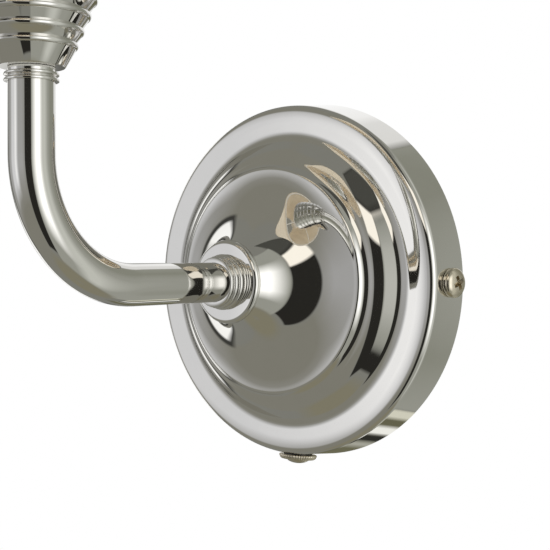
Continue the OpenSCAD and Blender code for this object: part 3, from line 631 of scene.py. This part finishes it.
# ---------------------------------------------------------------- fasteners and switch
def cross_cutters(name, size, depth, place):
    """Two tapered bars that cut a screw's cross recess, down local -Z from local zero."""
    over, wide, narrow = 0.6, 1.06, 0.52      # height over the head, and the taper
    bars = []
    for along_x in (True, False):
        points = []
        for z, k, thick in ((over, wide, wide), (-depth, narrow, 0.7)):
            long, short = size / 2 * k, size * 0.14 * thick
            a, b = (long, short) if along_x else (short, long)
            points += [(-a, -b, z), (a, -b, z), (a, b, z), (-a, b, z)]
        faces = [(3, 2, 1, 0), (4, 5, 6, 7)]
        faces += [(i, (i + 1) % 4, 4 + (i + 1) % 4, 4 + i) for i in range(4)]
        bar = new_mesh(f"{name}_{len(bars)}", points, faces)
        bar.data.transform(scaled(place))
        face_out(bar)
        bars.append(bar)
    return bars


def build_cover_screw(name, side, *replaced):
    """A cross-recess pan head, in the side band."""
    from_wall, length, shank_r = 5.8, 9, 2.5
    r, h, edge, gap = 4.75, 3.0, 0.35, 0.02
    seat = back_r - from_wall * tan(band_slope)
    place = move(side * seat, -from_wall, 0) @ turn("Z", -side * band_slope)
    place = place @ turn("Y", side * 90)
    outline = [(0, -length), (shank_r - 0.2, -length), (shank_r, -length + 0.4), (shank_r, gap),
               (r - edge, gap)]
    outline += arc((r - edge, edge + gap), edge, -90, 0, 4)
    outline += [(r * cos(a) ** 0.72, h * (0.34 + 0.66 * sin(a))) for a in range(6, 85, 6)]
    outline += [(0, h)]
    piece = lathe(name, outline, place, steps=96)
    cut(piece, cross_cutters(name + "_cut", 5.2, 1.9, place @ move(0, 0, h) @ turn("Z", 24)))
    finish_piece(piece, "screw_nickel", WALL, *replaced)


def switch_place():
    """Local +Z points down out of the side band, square to it."""
    from_wall = 7.2
    seat = back_r - from_wall * tan(band_slope)
    return move(0, -from_wall, -seat) @ turn("X", -band_slope) @ turn("X", 180)


def build_switch_nut():
    """A low domed nut round the button, with fine straight knurls on its rim."""
    r, h, seat_gap = width("switch_bezel") / 2, 1.7, 0.35
    barrel_r, knurls, knurl_depth = 5.03, 48, 0.16
    outline = [(barrel_r, seat_gap), (r - 0.3, seat_gap), (r, 0.6), (r, 1.0)]
    outline += arc((r - 1.3, 0.9), 1.2, 10, 80, 8) + [(barrel_r, h + seat_gap)]

    def grip(rr, z, a):
        if rr < r - 0.6:
            return rr
        return rr - knurl_depth * (0.5 + 0.5 * math.cos(a * knurls))

    piece = lathe("switch_nut", outline, switch_place(), steps=384, radius=grip)
    finish_piece(piece, "screw_nickel", WALL, "switch_bezel")


def build_button():
    r, h, dome_h = 4.0, 1.3, 1.7
    stem_r, stem_l = 2.8, 6.0
    outline = [(0, h - stem_l), (stem_r, h - stem_l), (stem_r, h), (r, h)]
    outline += [(r * cos(a), h + 0.5 + dome_h * sin(a)) for a in range(0, 90, 6)]
    outline += [(0, h + 0.5 + dome_h)]
    piece = lathe("push_dome", outline, switch_place(), steps=96)
    finish_piece(piece, "screw_nickel", PUSH, "switch_button")


# ---------------------------------------------------------------- lamp end
def build_drip_cup():
    """A flared cup that opens wide under the lampholder, with a rolled lip."""
    h, r, flare_h, lip_r = width("drip_cup", Z), width("drip_cup") / 2, 4, 0.7
    turn_r = flare_foot_r + flare_h * tan(flare_deg)
    outline = [(lamp_bore_r, 0), (9.0, 0), (flare_foot_r, 0.3), (turn_r, flare_h)]
    outline += [(turn_r + (r - 1.2 - turn_r) * sin(a), flare_h + 5 * (1 - cos(a)))
                for a in range(6, 91, 6)]
    outline += [(r - 1, h - 2 * lip_r)] + arc((r - lip_r, h - lip_r), lip_r, -60, 180, 14)
    outline += [(r - 2.4, 10), (r - 3.2, 7.6), (r - 4.4, 6.4), (13.6, 6), (lamp_bore_r, 6)]
    piece = lathe("lamp_cup", outline, move(0, lamp_y, low("drip_cup", Z)), steps=160)
    finish_piece(piece, "polished_nickel", SWING, "drip_cup")


def build_lamp_sleeve():
    r, h, wall, edge = 13.0, width("lamp_sleeve", Z), 0.8, 0.2
    outline = [(r - wall, 0), (r - edge, 0), (r, edge), (r, h - edge), (r - edge, h),
               (r - wall, h)]
    piece = lathe("lamp_tube", outline, move(0, lamp_y, low("lamp_sleeve", Z)))
    finish_piece(piece, "polished_nickel", SWING, "lamp_sleeve")


def threaded(r, z0, z1, pitch, depth):
    """A radius rule that winds a rounded thread between two heights."""
    def rule(rr, z, a):
        if abs(rr - r) > 0.05 or not z0 < z < z1:
            return rr
        fade = min(1.0, (z - z0) / pitch, (z1 - z) / pitch)
        wave = 0.5 - 0.5 * math.cos(2 * math.pi * (z / pitch - a / (2 * math.pi)))
        return rr - depth * fade * wave
    return rule


def rows(r, z0, z1, step):
    """Outline points up a straight side, close enough together to carry a thread."""
    n = max(2, round((z1 - z0) / step))
    return [(r, z0 + (z1 - z0) * i / n) for i in range(n + 1)]


def build_lampholder():
    """A collar over the sleeve, a threaded side for the shade's nut, and a deep socket."""
    z0 = low("lampholder", Z)
    collar_z = high("lamp_sleeve", Z) - z0
    top = width("lampholder", Z)
    r, edge, collar_h = width("lampholder") / 2, 0.3, 2.4
    bore_r, bore_floor = 7.45, 24.6
    outline = [(lamp_bore_r, 0), (12, 0), (12, collar_z + 0.01), (r - edge, collar_z + 0.01),
               (r, collar_z + edge), (r, collar_z + 2.1), (r - edge, collar_z + collar_h),
               (holder_r, collar_z + collar_h)]
    outline += rows(holder_r, collar_z + 2.5, top - 0.5, 0.3)
    outline += [(holder_r - 0.5, top), (bore_r + 0.6, top), (bore_r, top - 0.5),
                (bore_r, bore_floor), (lamp_bore_r, bore_floor)]
    rule = threaded(holder_r, collar_z + 2.6, top - 0.6, 1.8, 0.55)
    piece = lathe("holder", outline, move(0, lamp_y, z0), steps=96, radius=rule)
    finish_piece(piece, "white_plastic", SWING, "lampholder")


def build_shade_nut():
    """The ring nut that holds the shade's frame, with rounded ribs to grip."""
    r, h, bore_r, edge = width("shade_ring") / 2, width("shade_ring", Z), holder_r + 0.03, 0.5
    ribs, rib_depth = 18, 0.7
    outline = [(bore_r, 0), (r - edge, 0), (r, edge), (r, h - edge), (r - edge, h), (bore_r, h)]

    def grip(rr, z, a):
        if rr < r - 1:
            return rr
        return rr - rib_depth * max(0.0, math.cos(a * ribs)) ** 2

    place = move(0, lamp_y, low("shade_ring", Z))
    piece = lathe("shade_nut", outline, place, steps=288, radius=grip)
    finish_piece(piece, "white_plastic", SWING, "shade_ring")


def build_bulb_cap():
    r, h, thread_start, thread_end = bulb_cap_r, width("bulb_cap", Z), 3.0, 3.5
    outline = [(0, 0), (2.4, 0), (2.8, 0.3), (2.8, 0.9), (5.2, 2.2), (r - 0.5, 2.6)]
    outline += rows(r, thread_start, h - thread_end, 0.25)
    outline += [(r - 0.2, h - 3), (r - 0.2, h - 0.01), (0, h - 0.01)]
    rule = threaded(r, thread_start, h - thread_end, 2.8, 0.75)
    piece = lathe("bulb_thread", outline, move(0, lamp_y, low("bulb_cap", Z)), steps=96,
                  radius=rule)
    finish_piece(piece, "cap_metal", SWING, "bulb_cap")


def build_bulb_globe():
    """A ball on a short neck that widens smoothly into it."""
    base = low("bulb_globe", Z)
    r = width("bulb_globe") / 2
    centre = high("bulb_globe", Z) - r
    neck = bulb_cap_r + 0.4
    outline = [(0, base), (neck, base), (neck + 0.3, base + 1.0)]
    start = -math.degrees(math.acos((neck + 2.2) / r))
    blend_h = centre + r * sin(start) - base - 3.0
    outline += [(neck + 0.3 + 0.9 * (i / 6) ** 2, base + 1.0 + blend_h * i / 6)
                for i in range(1, 7)]
    outline += arc((0, centre), r, start, 90, 36)[:-1]
    outline += [(0, centre + r)]
    piece = lathe("bulb_opal", outline, move(0, lamp_y, 0), steps=96)
    finish_piece(piece, "opal_glass", SWING, "bulb_globe")


# ---------------------------------------------------------------- shade
def shade_r(z):
    """Outside radius of the shade's skin."""
    return shade_r0 - (z - shade_low) * lean


def cone_sheet(name, z0, z1, outside, t, around=240, up=48, wobble=0.0, start=0.0, sweep=360.0):
    """A cone-shaped sheet outside the shade's outline, with UV in millimetres."""
    closed = sweep >= 360
    columns = around if closed else around + 1
    layer = columns * (up + 1)
    points, faces, uv = [], [], []

    def corner(k, j):
        """UV of grid point k, j: round the shade's foot, and up its side."""
        return (math.radians(start + sweep * k / around) * shade_r(shade_low),
                (z0 + (z1 - z0) * j / up - shade_low) * slant)

    def quad(grid, skins, flip):
        """A face through four grid points, each on the outer skin, 0, or the inner, 1."""
        index = [skin * layer + j * columns + k % columns for (k, j), skin in zip(grid, skins)]
        marks = [corner(k, j) for k, j in grid]
        faces.append(index[::-1] if flip else index)
        uv.extend(marks[::-1] if flip else marks)

    for off in (outside, outside - t):
        for j in range(up + 1):
            z = z0 + (z1 - z0) * j / up
            for k in range(columns):
                a = math.radians(start + sweep * k / around)
                wave = wobble * math.sin(3 * a + 0.4) * math.sin(math.pi * j / up)
                r = shade_r(z) + off * slant + wave
                points.append((r * math.cos(a), r * math.sin(a), z))
    for k in range(around):
        for j in range(up):
            grid = ((k, j), (k + 1, j), (k + 1, j + 1), (k, j + 1))
            quad(grid, (0, 0, 0, 0), False)
            quad(grid, (1, 1, 1, 1), True)
        quad(((k, 0), (k, 0), (k + 1, 0), (k + 1, 0)), (0, 1, 1, 0), False)
        quad(((k, up), (k, up), (k + 1, up), (k + 1, up)), (0, 1, 1, 0), True)
    if not closed:
        for j in range(up):
            for k, flip in ((0, True), (around, False)):
                quad(((k, j), (k, j), (k, j + 1), (k, j + 1)), (0, 1, 1, 0), flip)
    piece = new_mesh(name, points, faces, 50, uv)
    piece.data.transform(scaled(move(0, lamp_y, 0)))
    return piece


def build_shade_skin():
    """The skin, whose flat size is that of the ring sector it is cut to."""
    piece = cone_sheet("shade_skin", shade_low, shade_high, 0.0, shade_t, wobble=0.12)
    finish_piece(piece, "shade_fabric", SWING, "shade")


def build_shade_seam():
    """The strip where the skin's ends overlap, between the tapes."""
    margin, start, sweep = 10.3, 84.0, 7.0
    piece = cone_sheet("shade_seam", shade_low + margin, shade_high - margin, 0.35, 0.33,
                       around=6, up=30, start=start, sweep=sweep)
    finish_piece(piece, "shade_fabric", SWING)


def build_shade_tape(name, z0, *replaced):
    tape_t, gap = 0.5, 0.15
    z1 = z0 + tape_h
    piece = cone_sheet(name, z0, z1, gap + tape_t, tape_t, up=8)
    finish_piece(piece, "shade_tape", SWING, *replaced)


# ---------------------------------------------------------------- studio
# What polished metal sees: (from azimuth, to azimuth, from height, to height, softness, colour).
# Azimuth 0 is straight out of the wall and 90 is +X; height is in degrees over the horizon.
STUDIO_BASE = (0.24, 0.24, 0.215)
STUDIO_PATCHES = [
    (-90, 16, -64, 62, 3, (0.245, 0.24, 0.205)),        # large soft panel on the left
    (-90, 18, -16, 16, 13, (0.42, 0.42, 0.42)),         # its lighter belt
    (-62, -22, -17, 17, 6, (0.75, 0.755, 0.775)),       # its bright middle
    (-37, -27, -12, 12, 5, (1.05, 1.05, 1.06)),         # the lamp behind it
    (-130, -86, -30, 30, 2, (0.05, 0.05, 0.045)),       # dark frame beyond it
    (-127, -94, -26, 26, 2, (1.10, 1.10, 1.08)),        # window in the frame
    (-130, -92, -8, 8, 3, (0.26, 0.26, 0.24)),          # the window's cross bar
    (18, 50, -58, 90, 1.2, (0.024, 0.023, 0.02)),       # dark gap where the room shows
    (18, 49, 21, 42, 1.5, (1.20, 1.14, 1.02)),          # small reflector in the gap
    (18, 52, 44, 90, 4, (0.075, 0.075, 0.066)),         # dim ceiling over the gap
    (50, 180, -66, 66, 1.5, (0.36, 0.365, 0.325)),      # soft panel on the right
    (62, 100, -30, 30, 11, (1.45, 1.45, 1.42)),         # its bright middle
    (100, 126, -60, 60, 9, (0.62, 0.63, 0.58)),         # its far side
    (144, 180, -36, 46, 7, (0.28, 0.285, 0.24)),        # the wall's shade beside the light
    (-180, 180, -90, -66, 5, (0.25, 0.235, 0.17)),      # floor
    (-178, -138, 0, 56, 3, (0.84, 0.84, 0.83)),         # pale backdrop behind the light
    (-156, -138, 0, 40, 3, (1.0, 1.0, 1.0)),            # its brightest part
    (-178, -138, -56, -6, 3, (0.15, 0.145, 0.09)),      # floor's edge against the backdrop
    (-180, -173, -56, -30, 1.5, (0.75, 0.74, 0.62)),    # strips along that edge, two of them pale
    (-166, -159, -56, -30, 1.5, (1.0, 1.0, 0.95)),
    (-159, -153, -56, -24, 1.5, (0.03, 0.03, 0.025)),
    (-153, -149, -56, -20, 1.5, (0.42, 0.42, 0.36)),
]


def directions(tree):
    """Azimuth and height of the direction looked in, in degrees."""
    place = tree.nodes.new("ShaderNodeTexCoord")
    split = tree.nodes.new("ShaderNodeSeparateXYZ")
    tree.links.new(place.outputs["Generated"], split.inputs[0])
    out_y = calculate(tree, "MULTIPLY", split.outputs["Y"], -1)
    azimuth = calculate(tree, "ARCTAN2", split.outputs["X"], out_y)
    height = calculate(tree, "ARCSINE", split.outputs["Z"])
    return calculate(tree, "DEGREES", azimuth), calculate(tree, "DEGREES", height)


def band(tree, source, start, end, soft):
    """1 between start and end, falling to 0 over soft on both sides."""
    rise = spread(tree, source, start - soft, start + soft, 0, 1)
    fall = spread(tree, source, end - soft, end + soft, 1, 0)
    return calculate(tree, "MULTIPLY", rise, fall)


def studio_colour(tree):
    """The patches laid over each other, each on those before it."""
    azimuth, height = directions(tree)
    colour = None
    for a0, a1, h0, h1, soft, paint in STUDIO_PATCHES:
        inside = calculate(tree, "MULTIPLY", band(tree, azimuth, a0, a1, soft),
                           band(tree, height, h0, h1, soft))
        mix = tree.nodes.new("ShaderNodeMix")
        mix.data_type = "RGBA"
        tree.links.new(inside, mix.inputs["Factor"])
        mix.inputs["A"].default_value = (*STUDIO_BASE, 1)
        mix.inputs["B"].default_value = (*paint, 1)
        if colour:
            tree.links.new(colour, mix.inputs["A"])
        colour = mix.outputs["Result"]
    return colour


def either(tree, choice, first, second):
    """A shader that is first where choice is 0 and second where it is 1."""
    mix = tree.nodes.new("ShaderNodeMixShader")
    tree.links.new(choice, mix.inputs["Fac"])
    tree.links.new(first, mix.inputs[1])
    tree.links.new(second, mix.inputs[2])
    return mix.outputs[0]


def build_studio():
    """Plain soft light, a patterned studio for gloss alone, and white behind the object."""
    world = bpy.data.worlds.new("studio")
    bpy.context.scene.world = world
    world.use_nodes = True
    tree = world.node_tree
    tree.nodes.clear()
    glossy = tree.nodes.new("ShaderNodeBackground")
    tree.links.new(studio_colour(tree), glossy.inputs["Color"])
    plain = add(tree, "ShaderNodeBackground", {"Color": (1, 0.995, 0.98, 1), "Strength": 0.92})
    white = add(tree, "ShaderNodeBackground", {"Color": (1, 1, 1, 1), "Strength": 1.0})
    rays = tree.nodes.new("ShaderNodeLightPath").outputs
    seen = calculate(tree, "MAXIMUM", rays["Is Camera Ray"], rays["Is Transmission Ray"])
    light = either(tree, rays["Is Glossy Ray"], plain.outputs[0], glossy.outputs[0])
    out = tree.nodes.new("ShaderNodeOutputWorld")
    tree.links.new(either(tree, seen, light, white.outputs[0]), out.inputs["Surface"])


def area_light(name, place, aim, size, power):
    light = bpy.data.lights.new(name, "AREA")
    light.shape = "RECTANGLE"
    light.size = light.size_y = size
    light.energy = power
    lamp = bpy.data.objects.new(name, light)
    lamp.location = place
    lamp.rotation_euler = (Vector(aim) - Vector(place)).to_track_quat("-Z", "Y").to_euler()
    lamp.visible_glossy = False
    lamp.visible_camera = False
    bpy.context.scene.collection.objects.link(lamp)


def build_lights():
    area_light("key", (1.1, -1.2, 0.9), (0, -0.12, 0.1), 0.9, 5)
    area_light("fill", (-1.3, -1.0, 0.5), (0, -0.12, 0.1), 1.0, 2.5)
    area_light("top", (0.0, -0.3, 1.6), (0, -0.15, 0.1), 1.0, 3)


def build_floor():
    """A plain pale round floor, which no gloss on the object shows."""
    r, z, middle_y = 750.0, -300.0, -150.0
    points = [(r * cos(a), middle_y + r * sin(a), z) for a in range(0, 360, 5)]
    floor = new_mesh("floor", points, [tuple(range(len(points)))])
    material, tree, bsdf = shader("floor")
    cloud = noise(tree, 3.0)
    tint = ramp(tree, cloud, [(0.3, (0.86, 0.86, 0.85)), (0.7, (0.88, 0.88, 0.87))])
    tree.links.new(tint, bsdf.inputs["Base Color"])
    bsdf.inputs["Roughness"].default_value = 0.9
    bsdf.inputs["Specular IOR Level"].default_value = 0.1
    floor.data.materials.append(material)
    floor.visible_glossy = False


def build_camera():
    """At the photograph's viewing angle and distance."""
    azimuth, height, distance = 40.05, 1.2, 0.400
    focal_px, image_px, sensor_mm = 1098.5, 550, 36
    aim = Vector((-0.01667, 0, 0.00132))
    back = Vector((sin(azimuth) * cos(height), -cos(azimuth) * cos(height), sin(height)))
    right = Vector((cos(azimuth), sin(azimuth), 0))
    up = back.cross(right)
    data = bpy.data.cameras.new("camera")
    data.sensor_width = sensor_mm
    data.lens = sensor_mm * focal_px / image_px
    data.clip_start = 0.01
    camera = bpy.data.objects.new("camera", data)
    camera.matrix_world = Matrix((right, up, back)).transposed().to_4x4()
    camera.location = aim + back * distance
    bpy.context.scene.collection.objects.link(camera)
    bpy.context.scene.camera = camera


# ---------------------------------------------------------------- the scene
dress_nodes()
build_camera()
build_studio()
build_floor()
build_lights()

build_cover()
build_washer()
build_collars()
build_arms()
build_spool("lower_spool", swing_y, WALL, "knuckle_base")
build_spool("upper_spool", lamp_y, SWING, "lamp_spool")
build_knuckle_cup()
build_knuckle_cap()
build_finial()
build_cover_screw("screw_right", 1, "cover_screws")
build_cover_screw("screw_left", -1)
build_switch_nut()
build_button()
build_drip_cup()
build_lamp_sleeve()
build_lampholder()
build_shade_nut()
build_bulb_cap()
build_bulb_globe()
build_shade_skin()
build_shade_seam()
build_shade_tape("tape_bottom", shade_low, "shade_trims")
build_shade_tape("tape_top", shade_high - tape_h)

bpy.context.scene.view_settings.view_transform = "Standard"
